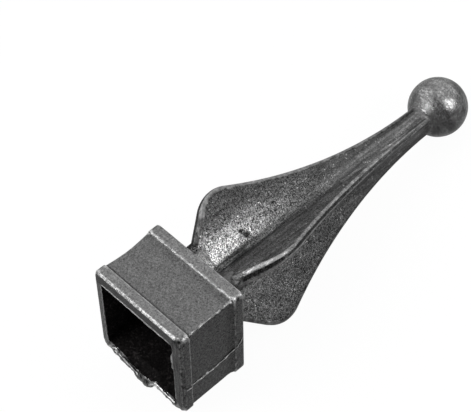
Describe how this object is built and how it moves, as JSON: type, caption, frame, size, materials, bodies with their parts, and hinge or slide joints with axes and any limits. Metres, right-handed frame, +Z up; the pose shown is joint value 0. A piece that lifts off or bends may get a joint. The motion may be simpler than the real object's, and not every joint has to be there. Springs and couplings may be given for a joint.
{
  "type": "railing finial",
  "caption": "Cast iron spear finial: square socket with two raised bands, spear of crossed tapering fins, slender neck and ball top.",
  "frame": {"origin": "centre of the socket's mouth, where the spear's axis meets the mouth plane", "axes": "+Z up the spear's axis from the mouth to the ball; X and Y square to the socket's faces; the fins stand on the diagonals; the ragged lip of the mouth is on +Y"},
  "size_m": [0.0252, 0.0288, 0.0985],
  "materials": {
    "casting": "dark raw casting with bright fettled edges"
  },
  "bodies": {
    "root": {"finial_casting": "casting"}
  },
  "joints": []
}
